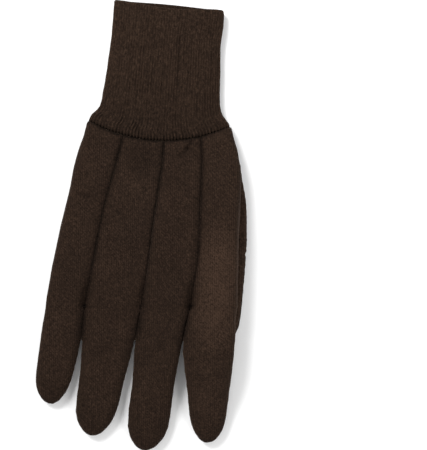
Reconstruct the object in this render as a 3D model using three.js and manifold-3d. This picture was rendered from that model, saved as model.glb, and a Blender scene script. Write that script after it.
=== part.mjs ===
// A brown cotton jersey work glove for the right hand, lying palm down with its thumb folded under the palm.
// It is sewn as the real one is: one palm piece with the fronts of the four fingers, four back strips that
// meet in three long seams, a thumb of two halves set into the palm, and a tube of rib knit round the wrist.
// Every piece is a wall of cloth, so the hand, the fingers, the thumb and the wrist are hollow.
// Lengths are millimetres and +Z is up. X runs across the hand, towards the index finger. The fingers point
// along -Y, and "down" is a distance from the wrist towards the fingertips.

import * as THREE from "three";
import { mergeVertices } from "three/addons/utils/BufferGeometryUtils.js";
import Module from "manifold-3d";

const wasm = await Module();
wasm.setup();
const { clamp, lerp, smoothstep, degToRad } = THREE.MathUtils;

// The cloth, and the clearances between the pieces.
const clothWall = 1.8; // brushed jersey
const ribWall = 2.2; // rib knit, two layers
const seamGap = 0.3; // between two pieces that are sewn together
const fingerClear = 0.4; // half the space between two fingers that touch
const thumbClear = 0.7; // between the thumb and the palm that lies on it

// The hand, from the wrist seam to the crotches of the fingers.
const handWidth = 106; // across the knuckles
const handDepth = 13.5;
const palmLength = 104;
const webDepth = 8; // solid cloth between two fingers, above their crotch
const webBow = 2; // the cloth between the fingers reaches this far lower in the middle of the hand
const archRise = 4; // how far a back strip reaches round the crotch, into the palm
const settle = 0.6; // how far the weight of the cloth presses its underside flat

// The fingers, from crotch to tip.
const littleLength = 57.8;
const ringLength = 75.9;
const middleLength = 84.6;
const indexLength = 80.4;
const fingerDepth = 12.6;
const fingerTip = 14; // length of the rounded end
const rootBulge = 3; // exponent of a finger's rounded section at its root
const tipBulge = 2.5; // and at its tip
const frontInset = 4.6; // a back strip wraps this far round onto the front of the finger

// The thumb, from the wrist seam to its tip.
const thumbLine = 28; // its line lies this far to the index side of the hand's middle
const thumbReach = 128.4;
const thumbWidth = 45;
const thumbDepth = 10.5;
const thumbTip = 12;
const thumbBulge = 3;
const thumbFork = 65.7; // where it leaves the palm
const passageShare = 0.5; // of the thumb's width that opens into the palm at the fork
const passageTop = 0.8; // and at the wrist

// How the palm drapes over the thumb: it slopes down beside it, and the fingers slope down past its tip.
const drapeReach = 38;
const fingerFall = 46;

// The knit wrist, and the curved seam that joins it to the hand.
const cuffLength = 69;
const cuffWidth = 64;
const cuffDepth = 11;
const cuffBulge = 2.6; // exponent of its rounded section
const cuffLean = 5.2; // degrees, towards the index side
const ribCount = 40;
const ribRise = 0.45;
const seamSag = 9.5; // the seam bows towards the fingers
const seamSlant = 2.4; // degrees

// Seams of the hand, as shares of handWidth from its middle, at shares of palmLength down from the wrist. The
// first and the last are the folds on its outer sides.
const HAND_SEAMS = [
  { at: 0.0, outer: -0.4, little: -0.191, ring: 0.021, middle: 0.213, index: 0.377 },
  { at: 0.2, outer: -0.469, little: -0.239, ring: 0.009, middle: 0.223, index: 0.431 },
  { at: 0.45, outer: -0.519, little: -0.307, ring: -0.027, middle: 0.214, index: 0.426 },
  { at: 0.62, outer: -0.561, little: -0.342, ring: -0.052, middle: 0.21, index: 0.421 },
  { at: 0.76, outer: -0.591, little: -0.368, ring: -0.068, middle: 0.201, index: 0.418 },
  { at: 0.87, outer: -0.613, little: -0.389, ring: -0.085, middle: 0.183, index: 0.417 },
  { at: 1.0, outer: -0.633, little: -0.416, ring: -0.104, middle: 0.162, index: 0.416 },
];
const SEAMS = ["outer", "little", "ring", "middle", "index"];

// Sections of the hand, at shares of palmLength. Depth is a share of handDepth. Bulge is the exponent of the
// rounded section, and valley the share of the depth that is left in a seam of the back.
const HAND_SECTIONS = [
  { at: 0.0, depth: 0.88, bulge: 3.6, valley: 0.84 },
  { at: 0.2, depth: 0.96, bulge: 3.6, valley: 0.84 },
  { at: 0.45, depth: 1.0, bulge: 3.6, valley: 0.82 },
  { at: 0.62, depth: 1.0, bulge: 3.4, valley: 0.8 },
  { at: 0.76, depth: 0.98, bulge: 3.2, valley: 0.76 },
  { at: 0.87, depth: 0.97, bulge: 3.1, valley: 0.66 },
  { at: 1.0, depth: 0.96, bulge: 3.0, valley: 0.22 },
];

// Sides of each finger before its tip is rounded, as shares of its root's width from its root's middle,
// at shares of its length. Depth is a share of fingerDepth.
const FINGERS = [
  {
    name: "little",
    length: littleLength,
    rows: [
      { at: 0.0, left: -0.5, right: 0.5, depth: 1.0 },
      { at: 0.27, left: -0.604, right: 0.431, depth: 0.98 },
      { at: 0.53, left: -0.705, right: 0.332, depth: 0.93 },
      { at: 0.8, left: -0.781, right: 0.146, depth: 0.86 },
      { at: 1.0, left: -0.756, right: 0.0, depth: 0.8 },
    ],
  },
  {
    name: "ring",
    length: ringLength,
    rows: [
      { at: 0.0, left: -0.5, right: 0.5, depth: 1.0 },
      { at: 0.28, left: -0.56, right: 0.367, depth: 1.0 },
      { at: 0.55, left: -0.609, right: 0.218, depth: 0.96 },
      { at: 0.82, left: -0.667, right: 0.054, depth: 0.9 },
      { at: 1.0, left: -0.656, right: -0.06, depth: 0.82 },
    ],
  },
  {
    name: "middle",
    length: middleLength,
    rows: [
      { at: 0.0, left: -0.5, right: 0.5, depth: 1.0 },
      { at: 0.26, left: -0.648, right: 0.324, depth: 1.0 },
      { at: 0.52, left: -0.711, right: 0.189, depth: 0.97 },
      { at: 0.83, left: -0.805, right: 0.045, depth: 0.9 },
      { at: 1.0, left: -0.816, right: -0.057, depth: 0.82 },
    ],
  },
  {
    name: "index",
    length: indexLength,
    rows: [
      { at: 0.0, left: -0.5, right: 0.5, depth: 1.0 },
      { at: 0.28, left: -0.675, right: 0.466, depth: 1.0 },
      { at: 0.6, left: -0.601, right: 0.347, depth: 0.96 },
      { at: 0.85, left: -0.515, right: 0.259, depth: 0.88 },
      { at: 1.0, left: -0.468, right: 0.2, depth: 0.82 },
    ],
  },
];

// Sides of the thumb before its tip is rounded, as shares of thumbWidth from thumbLine, at shares of
// thumbReach. Depth is a share of thumbDepth.
const THUMB = [
  { at: 0.0, left: -0.438, right: 0.25, depth: 1.0 },
  { at: 0.205, left: -0.477, right: 0.405, depth: 1.0 },
  { at: 0.381, left: -0.505, right: 0.496, depth: 1.0 },
  { at: 0.467, left: -0.496, right: 0.5, depth: 1.0 },
  { at: 0.575, left: -0.425, right: 0.49, depth: 1.0 },
  { at: 0.684, left: -0.335, right: 0.469, depth: 0.98 },
  { at: 0.792, left: -0.245, right: 0.438, depth: 0.95 },
  { at: 0.887, left: -0.155, right: 0.403, depth: 0.92 },
  { at: 1.0, left: -0.064, right: 0.348, depth: 0.85 },
];

// Widths of the knit wrist as shares of cuffWidth, and depths as shares of cuffDepth, at shares of cuffLength
// up from the wrist. Flute is the share of the full rib that stands out: the knit is gathered at the seam.
const CUFF = [
  { at: -0.32, wide: 1.42, depth: 1.12, flute: 1.0 },
  { at: -0.16, wide: 1.36, depth: 1.12, flute: 1.0 },
  { at: 0.0, wide: 1.27, depth: 1.1, flute: 1.0 },
  { at: 0.07, wide: 1.17, depth: 1.06, flute: 0.95 },
  { at: 0.14, wide: 1.09, depth: 1.02, flute: 0.8 },
  { at: 0.24, wide: 1.05, depth: 1.0, flute: 0.6 },
  { at: 0.42, wide: 1.02, depth: 0.98, flute: 0.4 },
  { at: 0.7, wide: 1.0, depth: 0.98, flute: 0.35 },
  { at: 1.0, wide: 1.0, depth: 1.0, flute: 0.3 },
];

// Counts of faces.
const halfPanelSteps = 3; // round a quarter of a finger, and across half a strip of the hand
const palmRows = 12;
const fingerRows = 7;
const tipAngles = [28, 56, 80]; // degrees round the end of a finger
const handCrowding = 1.25; // above 1, the rows of the hand stand closer together towards the crotches
const regionCrowding = 1.4; // and so do those of the solid that cuts the palm out
const cuffRows = CUFF.map((row) => row.at);
const cuffHollowRows = [-0.4, 0, 0.15, 0.5, 1.1]; // shares of cuffLength
const farAway = 400; // beyond every piece, for the cutting solids
const finestEdge = 0.03; // shorter edges are closed up

// A smooth curve through one named column of a table, read at a share along it.
function column(table, name) {
  const shares = table.map((row) => row.at);
  const curve = new THREE.CubicInterpolant(shares, table.map((row) => row[name]), 1);
  return (share) => curve.evaluate(clamp(share, shares[0], shares.at(-1)))[0];
}

function columns(table, names) {
  return Object.fromEntries(names.map((name) => [name, column(table, name)]));
}

const hand = { ...columns(HAND_SEAMS, SEAMS), ...columns(HAND_SECTIONS, ["depth", "bulge", "valley"]) };
const thumb = columns(THUMB, ["left", "right", "depth"]);
const cuff = columns(CUFF, ["wide", "depth", "flute"]);
for (const finger of FINGERS) finger.curves = columns(finger.rows, ["left", "right", "depth"]);

const seamX = (name, down) => hand[name](down / palmLength) * handWidth;
const handHalfDepth = (down) => (hand.depth(down / palmLength) * handDepth) / 2;
const thumbX = (side, down) => thumbLine + thumb[side](down / thumbReach) * thumbWidth;

// Where the sections of the hand stand, closer together towards the crotches.
function handStations(start, end) {
  const shares = Array.from({ length: palmRows + 1 }, (_, row) => 1 - (1 - row / palmRows) ** handCrowding);
  return shares.map((share) => lerp(start, end, share));
}

// The share of its full width that a rounded end has, at a distance from the tip.
const roundedEnd = (fromTip, length) => Math.sqrt(1 - (1 - clamp(fromTip / length, 0, 1)) ** 2);

// How high the thumb holds the hand off the surface, at a place on the hand.
function lift(x, down) {
  const tail = thumbReach + thumbClear;
  const along = smoothstep(down, 0, thumbFork) * (1 - smoothstep(down, tail, tail + fingerFall));
  const start = thumbX("left", down) - 2 * thumbClear;
  return (thumbDepth + thumbClear + settle) * along * smoothstep(x, start - drapeReach, start);
}

// A point of the hand, raised over the thumb and pressed flat where it rests.
function draped(x, down, z, inset) {
  return new THREE.Vector3(x, -down, Math.max(z - settle + lift(x, down), inset));
}

// A closed solid through rings of points. Every ring has as many points, and each end is a fan. The middle of
// the last fan may bow out along -Y.
function loft(rings, bow = 0) {
  const sides = rings[0].length;
  const points = rings.flat();
  const centre = (ring) => ring.reduce((sum, p) => sum.add(p), new THREE.Vector3()).divideScalar(sides);
  const first = points.push(centre(rings[0])) - 1;
  const last = points.push(centre(rings.at(-1)).sub(new THREE.Vector3(0, bow, 0))) - 1;
  const index = [];
  for (let side = 0; side < sides; side++) {
    const next = (side + 1) % sides;
    const end = (rings.length - 1) * sides;
    index.push(first, side, next, last, end + next, end + side);
    for (let row = 0; row < rings.length - 1; row++) {
      const [a, b] = [row * sides + side, row * sides + next];
      index.push(a, b + sides, b, a, a + sides, b + sides);
    }
  }
  return solid(new THREE.BufferGeometry().setFromPoints(points).setIndex(index));
}

// A box of the given counts of faces. Its corners are placed by a function of three shares from 0 to 1.
function block(across, along, place) {
  const box = new THREE.BoxGeometry(1, 1, 1, across, along, 1);
  const position = box.attributes.position;
  for (let i = 0; i < position.count; i++) {
    const shares = [position.getX(i), position.getY(i), position.getZ(i)].map((v) => v + 0.5);
    position.setXYZ(i, ...place(...shares));
  }
  return solid(box);
}

// A three.js geometry as a solid that can be joined and cut.
function solid(geometry) {
  const bare = geometry.clone();
  bare.deleteAttribute("normal");
  bare.deleteAttribute("uv");
  const merged = mergeVertices(bare, 1e-4);
  return new wasm.Manifold(
    new wasm.Mesh({
      numProp: 3,
      vertProperties: merged.attributes.position.array,
      triVerts: new Uint32Array(merged.index.array),
    }),
  );
}

const joined = (solids) => solids.reduce((sum, next) => sum.add(next));

// A cut piece without the slivers and crumbs of cloth that the cutting leaves at the crotches.
const mainBody = (piece) =>
  piece
    .asOriginal()
    .simplify(finestEdge)
    .decompose()
    .sort((a, b) => b.volume() - a.volume())[0];

// A sine or cosine drawn out towards the corners of a rounded section. A bulge of 2 leaves it as it is.
const rounded = (value, bulge) => Math.sign(value) * Math.abs(value) ** (2 / bulge);

// Half of a rounded section, from one edge to the other, as offsets u and heights that are shares of the half
// size.
function roundedHalf(bulge) {
  const steps = [];
  for (let step = -halfPanelSteps; step <= halfPanelSteps; step++) {
    const angle = (step / halfPanelSteps) * (Math.PI / 2);
    const u = rounded(Math.sin(angle), bulge);
    const height = Math.abs(step) === halfPanelSteps ? 0 : rounded(Math.cos(angle), bulge);
    steps.push({ step, u, height });
  }
  return steps;
}

// One section of the hand: four crowned strips on the back, and one plain face on the palm. Inset is the
// thickness of the cloth for the hollow, and 0 for the outside.
function handRing(down, inset) {
  const share = down / palmLength;
  const half = handHalfDepth(down);
  const valley = hand.valley(share);
  const palmValley = lerp(1, valley, smoothstep(down, palmLength - webDepth - 2, palmLength));
  const profile = roundedHalf(hand.bulge(share));
  const strips = SEAMS.slice(1).map((name, k) => [seamX(SEAMS[k], down), seamX(name, down)]);
  strips[0][0] += inset;
  strips.at(-1)[1] -= inset;
  const face = (floor) =>
    strips.flatMap(([left, right], k) =>
      profile.slice(k === 0 ? 0 : 1).map(({ step, u, height }) => {
        const outer = (k === 0 && step < 0) || (k === strips.length - 1 && step > 0);
        const level = outer ? (half - inset) * height : half * (floor + (1 - floor) * height) - inset;
        return [lerp(left, right, (u + 1) / 2), level];
      }),
    );
  const back = face(valley).map(([x, level]) => draped(x, down, half + level, inset));
  const palm = face(palmValley).map(([x, level]) => draped(x, down, half - level, inset));
  return [...back, ...palm.reverse().slice(1, -1)];
}

function handSolid(inset) {
  const end = inset ? palmLength - webDepth : palmLength + fingerClear;
  return loft(
    handStations(inset ? -webDepth * 2 : -webDepth, end).map((down) => handRing(down, inset)),
    webBow,
  );
}

// A rounded section between two sides, standing on the surface or raised over the thumb.
function tubeRing(left, right, depth, bulge, round, place) {
  const profile = roundedHalf(bulge);
  const middle = (left + right) / 2;
  const halfWidth = ((right - left) / 2) * round;
  const halfDepth = (depth / 2) * round;
  const upper = profile.map(({ u, height }) => [middle + u * halfWidth, height * halfDepth]);
  const lower = upper.slice(1, -1).reverse();
  return [...upper.map(([x, z]) => place(x, z)), ...lower.map(([x, z]) => place(x, -z))];
}

// The sides of a finger at a reach from its crotch, before the tip is rounded. Above the crotch they are the
// seams of its strip.
function fingerSides(finger, reach) {
  const k = FINGERS.indexOf(finger);
  const down = palmLength + Math.min(reach, 0);
  const [left, right] = [seamX(SEAMS[k], down), seamX(SEAMS[k + 1], down)];
  if (reach <= 0) return [left, right];
  const [middle, width] = [(left + right) / 2, right - left];
  const share = reach / finger.length;
  return [middle + finger.curves.left(share) * width, middle + finger.curves.right(share) * width];
}

function fingerDepthAt(finger, reach) {
  return fingerDepth * finger.curves.depth(Math.max(reach, 0) / finger.length);
}

function fingerSolid(finger, inset) {
  const start = inset ? -webDepth * 2 : -webDepth / 2;
  const length = finger.length - inset;
  const round = fingerTip - inset;
  const reaches = [];
  for (let row = 0; row <= fingerRows; row++) reaches.push(lerp(start, length - round, row / fingerRows));
  for (const angle of tipAngles) reaches.push(length - round * (1 - Math.sin(degToRad(angle))));
  const rings = reaches.map((reach) => {
    const [left, right] = fingerSides(finger, reach);
    const depth = fingerDepthAt(finger, reach);
    const trim = fingerClear + inset;
    const down = palmLength + reach;
    const bulge = lerp(rootBulge, tipBulge, smoothstep(reach, 0, length));
    const end = roundedEnd(length - reach, round);
    return tubeRing(left + trim, right - trim, depth - 2 * inset, bulge, end, (x, z) =>
      draped(x, down, depth / 2 + z, inset),
    );
  });
  return loft(rings);
}

function thumbSolid(inset) {
  const start = inset ? -webDepth * 2 : -webDepth;
  const length = thumbReach - inset;
  const round = thumbTip - inset;
  const downs = [];
  for (let row = 0; row <= palmRows; row++) downs.push(lerp(start, length - round, row / palmRows));
  for (const angle of tipAngles) downs.push(length - round * (1 - Math.sin(degToRad(angle))));
  const rings = downs.map((down) => {
    const depth = thumbDepth * thumb.depth(down / thumbReach) + settle;
    const [left, right] = [thumbX("left", down) + inset, thumbX("right", down) - inset];
    return tubeRing(left, right, depth - 2 * inset, thumbBulge, roundedEnd(length - down, round), (x, z) =>
      new THREE.Vector3(x, -down, Math.max(depth / 2 - settle + z, inset)),
    );
  });
  return loft(rings);
}

// The way from the hand's hollow into the thumb's, which opens the web above the fork.
function thumbPassage() {
  return block(2, 8, (across, along, up) => {
    const down = lerp(thumbFork - seamGap, -webDepth * 2, along);
    const [left, right] = [thumbX("left", down), thumbX("right", down)];
    const reach = ((right - left) / 2) * lerp(passageShare, passageTop, along);
    const x = (left + right) / 2 + lerp(-reach, reach, across);
    return [x, -down, lerp(2 * clothWall, handHalfDepth(down) + lift(x, down), up)];
  });
}

// The height where the back meets the palm at the sides of the hand and in the hollow.
const parting = (x, down, half) => half - settle + lift(x, down);

// Everything that belongs to the palm piece or the thumb: all below the parting, as far as the crotches.
function palmRegion(grow) {
  const end = palmLength - archRise + grow;
  return block(8, 12, (across, along, up) => {
    const down = lerp(end, -farAway / 4, along ** regionCrowding);
    const x = lerp(-handWidth, handWidth, across);
    return [x, -down, lerp(-farAway / 4, parting(x, down, handHalfDepth(down)) + grow, up)];
  });
}

// The front of one finger: a strip narrower than the finger, and out past the side where the cloth is folded
// and not sewn, on the little and the index finger.
function frontRegion(finger, grow) {
  const k = FINGERS.indexOf(finger);
  const fold = { left: k === 0, right: k === FINGERS.length - 1 };
  const length = finger.length - (fold.left || fold.right ? fingerTip / 2 : frontInset);
  return block(1, 10, (across, along, up) => {
    const reach = lerp(length + grow, -archRise - webDepth / 2, along);
    const [left, right] = fingerSides(finger, reach);
    const [middle, half] = [(left + right) / 2, (right - left) / 2];
    const narrow = half * roundedEnd(length + grow - reach, fingerTip) - frontInset + grow;
    const inner = Math.max(narrow, grow);
    const from = fold.left ? left - 2 * clothWall : middle - inner;
    const to = fold.right ? right + 2 * clothWall : middle + inner;
    const x = lerp(from, to, across);
    const down = palmLength + reach;
    return [x, -down, lerp(-farAway / 4, parting(x, down, fingerDepthAt(finger, reach) / 2) + grow, up)];
  });
}

// Where one strip ends and the next begins: on a seam of the hand, and then halfway between two fingers.
function stripSide(k, down) {
  if (k === 0 || k === FINGERS.length) return Math.sign(k - 1) * handWidth;
  const reach = down - palmLength;
  const [, right] = fingerSides(FINGERS[k - 1], reach);
  const [left] = fingerSides(FINGERS[k], reach);
  return (left + right) / 2;
}

// The column of space that holds one strip of the hand and its finger.
function stripRegion(k) {
  const reach = Math.max(...FINGERS.map((finger) => finger.length)) + fingerTip;
  const stations = handStations(-webDepth, palmLength);
  for (let row = 1; row <= fingerRows; row++) stations.push(palmLength + (reach * row) / fingerRows);
  stations.reverse();
  return block(1, stations.length - 1, (across, along, up) => {
    const down = stations[Math.round(along * (stations.length - 1))];
    const [left, right] = [stripSide(k, down) + seamGap / 2, stripSide(k + 1, down) - seamGap / 2];
    return [lerp(left, right, across), -down, lerp(-farAway / 4, farAway / 4, up)];
  });
}

// The space of the thumb under the palm. Upper says whether only what is above its own side seam is meant.
function thumbRegion(grow, upper) {
  const end = upper ? thumbFork + seamGap : -farAway / 4;
  return block(8, 14, (across, along, up) => {
    const down = lerp(thumbReach + thumbClear + grow, end, along);
    const left = thumbX("left", down) - thumbClear / 2 - grow;
    const x = lerp(left, handWidth, across);
    const top = Math.min(thumbDepth + thumbClear / 2, parting(x, down, handHalfDepth(down)));
    return [x, -down, lerp(upper ? thumbDepth / 2 : -farAway / 4, top + grow, up)];
  });
}

// The far side of the wrist seam, which the knit wrist keeps and the hand loses.
function wristRegion(grow) {
  const half = (handWidth * (hand.index(0) - hand.outer(0))) / 2;
  const middle = (handWidth * (hand.index(0) + hand.outer(0))) / 2;
  return block(16, 1, (across, along, up) => {
    const x = lerp(-1.5 * half, 1.5 * half, across);
    const bow = seamSag * (1 - (x / half) ** 2) + x * Math.tan(degToRad(seamSlant));
    return [middle + x, lerp(-bow - grow, farAway / 2, along), lerp(-farAway / 4, farAway / 4, up)];
  });
}

// A fluted tube of rib knit, open at both ends, turned about the middle of the wrist seam.
function cuffSolid(inset) {
  const middle = (handWidth * (hand.index(0) + hand.outer(0))) / 2;
  const turn = new THREE.Matrix4().makeRotationZ(degToRad(-cuffLean));
  turn.premultiply(new THREE.Matrix4().makeTranslation(middle, 0, 0));
  const shares = inset ? cuffHollowRows : cuffRows;
  const rings = shares.map((share) => {
    const halfWidth = (cuff.wide(share) * cuffWidth) / 2 - inset;
    const halfDepth = (cuff.depth(share) * cuffDepth) / 2 - inset;
    const count = inset ? ribCount : ribCount * 2;
    return Array.from({ length: count }, (_, i) => {
      const angle = (i / count) * 2 * Math.PI;
      const rib = inset ? 0 : (i % 2 ? -1 : 1) * (ribRise / 2) * cuff.flute(share);
      const x = -rounded(Math.cos(angle), cuffBulge) * (halfWidth + rib);
      const z = rounded(Math.sin(angle), cuffBulge) * (halfDepth + rib) + halfDepth + inset;
      return new THREE.Vector3(x, share * cuffLength, Math.max(z, inset + ribRise / 2)).applyMatrix4(turn);
    }).map((p) => p.setZ(p.z - ribRise / 2));
  });
  return loft(rings.reverse());
}

// The whole hand with its fingers and thumb, as a wall of cloth.
const outside = joined([handSolid(0), thumbSolid(0), ...FINGERS.map((finger) => fingerSolid(finger, 0))]);
const hollow = joined([
  handSolid(clothWall),
  thumbSolid(clothWall),
  thumbPassage(),
  ...FINGERS.map((finger) => fingerSolid(finger, clothWall)),
]);
const shell = outside.subtract(hollow).subtract(wristRegion(seamGap / 2));

// The pieces that the shell is cut into.
const palmSide = (grow) => joined([palmRegion(grow), ...FINGERS.map((finger) => frontRegion(finger, grow))]);
const thumbSide = shell.intersect(thumbRegion(0, false));
const thumbUpper = thumbRegion(0, true);
const above = shell.subtract(thumbRegion(seamGap, false));
const backSide = above.subtract(palmSide(seamGap));

const pieces = {
  palm: above.intersect(palmSide(0)),
  thumb_front: thumbSide.subtract(thumbRegion(seamGap, true)),
  thumb_back: thumbSide.intersect(thumbUpper),
  knit_wrist: cuffSolid(0)
    .subtract(cuffSolid(ribWall))
    .intersect(wristRegion(-seamGap / 2)),
};
FINGERS.forEach((finger, k) => {
  pieces[finger.name + "_back"] = backSide.intersect(stripRegion(k));
});

// Brown cotton: the knit wrist is a shade darker than the brushed jersey.
const jersey = new THREE.MeshStandardMaterial({ color: 0x33261f, roughness: 0.95, metalness: 0 });
const ribKnit = new THREE.MeshStandardMaterial({ color: 0x30241d, roughness: 0.95, metalness: 0 });

function meshOf(name, piece) {
  const { vertProperties, triVerts } = mainBody(piece).getMesh();
  const geometry = new THREE.BufferGeometry();
  geometry.setAttribute("position", new THREE.BufferAttribute(vertProperties, 3));
  geometry.setIndex(new THREE.BufferAttribute(triVerts, 1));
  geometry.computeVertexNormals();
  const mesh = new THREE.Mesh(geometry, name === "knit_wrist" ? ribKnit : jersey);
  mesh.name = name;
  return mesh;
}

const glove = new THREE.Group();
for (const [name, piece] of Object.entries(pieces)) glove.add(meshOf(name, piece));

// The origin is on the surface, under the middle of the glove.
const extent = new THREE.Box3().setFromObject(glove);
const middle = extent.getCenter(new THREE.Vector3());
glove.position.set(-middle.x, -middle.y, -extent.min.z);

export default glove;
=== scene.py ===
"""A brown cotton jersey work glove for the right hand, lying palm down with its thumb folded under the palm.

The sections follow the glove as it is sewn: the hand and the thumb of brushed jersey, made as one skin that
is then parted along the seams, and the rib-knit wrist. Lengths are metres. The fingers point along -Y, the
index finger is at +X, and the back of the hand faces +Z.
"""

import math

import bmesh
import bpy
import numpy as np
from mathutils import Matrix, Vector, noise
from mathutils.bvhtree import BVHTree


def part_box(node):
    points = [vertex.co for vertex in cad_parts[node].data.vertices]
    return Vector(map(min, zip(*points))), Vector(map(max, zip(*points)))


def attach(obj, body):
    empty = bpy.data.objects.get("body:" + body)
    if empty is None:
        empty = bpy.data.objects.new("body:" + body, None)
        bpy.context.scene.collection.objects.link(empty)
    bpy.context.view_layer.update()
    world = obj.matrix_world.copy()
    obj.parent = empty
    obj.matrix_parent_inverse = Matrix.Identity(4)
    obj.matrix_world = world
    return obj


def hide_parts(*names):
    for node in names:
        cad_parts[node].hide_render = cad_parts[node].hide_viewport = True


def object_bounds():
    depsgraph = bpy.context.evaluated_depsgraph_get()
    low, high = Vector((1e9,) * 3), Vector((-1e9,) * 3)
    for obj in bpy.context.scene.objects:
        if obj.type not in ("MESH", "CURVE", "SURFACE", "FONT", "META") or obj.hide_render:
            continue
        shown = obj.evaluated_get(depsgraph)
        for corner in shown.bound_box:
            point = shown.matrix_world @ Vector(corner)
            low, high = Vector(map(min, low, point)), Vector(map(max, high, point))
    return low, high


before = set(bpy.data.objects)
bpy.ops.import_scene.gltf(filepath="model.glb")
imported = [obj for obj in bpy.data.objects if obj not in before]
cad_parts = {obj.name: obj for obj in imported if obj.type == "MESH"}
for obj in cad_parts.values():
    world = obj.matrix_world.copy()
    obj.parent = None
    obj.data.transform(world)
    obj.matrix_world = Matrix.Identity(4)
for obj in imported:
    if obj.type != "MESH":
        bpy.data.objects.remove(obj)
cad_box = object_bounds()
MM = 0.001

# The surface that the glove lies on, and the light and camera over it. It is a pale, matt table top without
# an edge in view. Two broad soft lamps hang over it, and the camera looks straight down, with the glove to
# the left of the middle of its view.
PHOTO_WIDE, PHOTO_HIGH = 427, 450
PHOTO_SCALE = 0.58 * MM  # one pixel of the photograph at the glove
WRIST_PIXEL = (161.5, 124.7)  # the middle of the wrist seam in the photograph
WRIST_SEAM_X, WRIST_SEAM_Y = 11.24 * MM, 58.38 * MM  # and on the glove
CAMERA_HEIGHT = 1.15
LONG_SIDE = 36.0  # millimetres of film along the picture's long side

picture_x = WRIST_SEAM_X + (PHOTO_WIDE / 2 - WRIST_PIXEL[0]) * PHOTO_SCALE
picture_y = WRIST_SEAM_Y - (PHOTO_HIGH / 2 - WRIST_PIXEL[1]) * PHOTO_SCALE
lens = bpy.data.cameras.new("over_the_table")
lens.sensor_width = LONG_SIDE
lens.lens = LONG_SIDE * CAMERA_HEIGHT / (PHOTO_HIGH * PHOTO_SCALE)
camera = bpy.data.objects.new("over_the_table", lens)
camera.location = (picture_x, picture_y, CAMERA_HEIGHT)
bpy.context.scene.collection.objects.link(camera)
bpy.context.scene.camera = camera

FLOOR_SIZE = 6.0
FLOOR_DROP = 0.1 * MM  # the glove rests this far over the table top
FLOOR_COLOUR, FLOOR_ROUGHNESS = (0.93, 0.93, 0.93, 1), 0.9
SKY_LIGHT = 0.6
table_top = bmesh.new()
bmesh.ops.create_grid(table_top, x_segments=1, y_segments=1, size=FLOOR_SIZE / 2)
bmesh.ops.translate(table_top, verts=table_top.verts, vec=(0, 0, -FLOOR_DROP))
table_mesh = bpy.data.meshes.new("table_top")
table_top.to_mesh(table_mesh)
table_top.free()
table_object = bpy.data.objects.new("table_top", table_mesh)
bpy.context.scene.collection.objects.link(table_object)
table_finish = bpy.data.materials.new("pale_table")
table_finish.use_nodes = True
table_shader = table_finish.node_tree.nodes["Principled BSDF"]
table_shader.inputs["Base Color"].default_value = FLOOR_COLOUR
table_shader.inputs["Roughness"].default_value = FLOOR_ROUGHNESS
table_mesh.materials.append(table_finish)
glove_middle = (cad_box[0] + cad_box[1]) / 2


def soft_lamp(name, place, size, watts):
    lamp = bpy.data.lights.new(name, "AREA")
    lamp.shape = "DISK"
    lamp.size = size
    lamp.energy = watts
    held = bpy.data.objects.new(name, lamp)
    held.location = place
    held.rotation_euler = (glove_middle - Vector(place)).to_track_quat("-Z", "Y").to_euler()
    bpy.context.scene.collection.objects.link(held)


soft_lamp("lamp_over", place=(-0.55, 0.75, 1.0), size=0.6, watts=20)
soft_lamp("lamp_low", place=(0.75, -0.35, 0.9), size=0.6, watts=6)
sky = bpy.data.worlds.new("pale_room")
sky.use_nodes = True
sky.node_tree.nodes["Background"].inputs["Color"].default_value = (1, 1, 1, 1)
sky.node_tree.nodes["Background"].inputs["Strength"].default_value = SKY_LIGHT
bpy.context.scene.world = sky
bpy.context.scene.view_settings.view_transform = "Standard"

# The hand and the thumb: the palm piece with the fronts of the fingers, the back strips and the two halves of
# the thumb, sewn inside out and turned. They are cut from dark brown cotton jersey, knitted fine and brushed
# on its outer face, so that it is matt and mottled. Its wales run along the fingers.
JERSEY_BROWN = (0.0170, 0.0099, 0.0065)
WALE_WIDTH = 1.2 * MM
COURSE_HEIGHT = 1.5 * MM
TWILL_WIDTH = 1.0 * MM  # the brushing leaves faint slanting lines
JERSEY_PILE = 0.4 * MM  # how deep the pile is
BAND_PITCH = 0.314  # between the bands of a wave texture at scale 1
PILE_TONES = [(0.36, 0.35), (0.5, 0.95), (0.66, 2.6)]  # from deep in the pile to its flecks: place and tone
YARN_ROUGHNESS, YARN_SPECULAR = 0.95, 0.06
SHEEN, SHEEN_ROUGHNESS, SHEEN_TINT = 0.08, 0.35, (0.75, 0.5, 0.36)


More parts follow.
